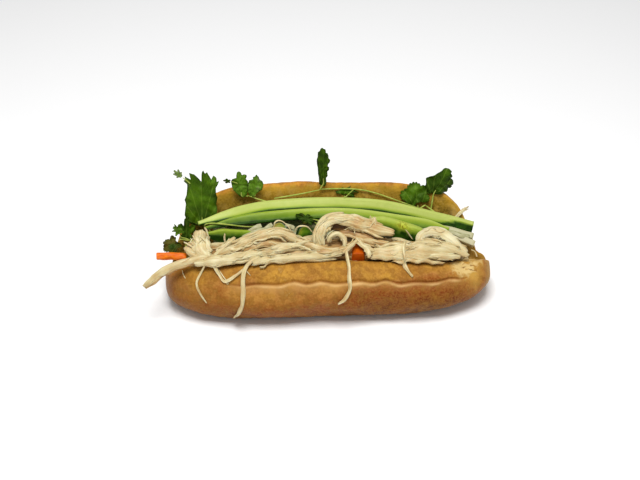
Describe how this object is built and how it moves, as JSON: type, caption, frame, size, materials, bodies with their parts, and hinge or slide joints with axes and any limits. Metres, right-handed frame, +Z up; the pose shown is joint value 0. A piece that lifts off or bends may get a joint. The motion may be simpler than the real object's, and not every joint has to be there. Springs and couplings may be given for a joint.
{
  "type": "banh mi sandwich",
  "caption": "Open crusty roll filled with shredded chicken, cucumber slices, daikon, carrot, green pepper and cilantro sprigs.",
  "frame": {"origin": "centre of the flat underside, on the line between the two halves of the roll", "axes": "+X along the roll, -Y towards the front half where the chicken hangs over the crust, +Z up"},
  "size_m": [0.2376, 0.1032, 0.0934],
  "materials": {
    "crust": "baked crust, satin and speckled, over a matte crumb",
    "chicken": "moist fibrous cooked meat",
    "cucumber": "wet pale flesh with a dark green skin",
    "daikon": "wet and slightly translucent",
    "carrot": "wet pickled carrot",
    "pepper": "glossy green skin",
    "cilantro": "matte leaf with paler veins"
  },
  "bodies": {
    "root": {"roll": "crust", "chicken": "chicken", "chicken_stray": "chicken", "cucumber_top": "cucumber", "cucumber_middle": "cucumber", "cucumber_lower": "cucumber", "cucumber_right": "cucumber", "daikon": "daikon", "carrot_left": "carrot", "carrot_middle": "carrot", "pepper_left": "pepper", "pepper_middle": "pepper", "cilantro_left": "cilantro", "cilantro_far_left": "cilantro", "cilantro_rear_left": "cilantro", "cilantro_upright": "cilantro", "cilantro_middle": "cilantro", "cilantro_right": "cilantro", "cilantro_inner": "cilantro"}
  },
  "joints": []
}
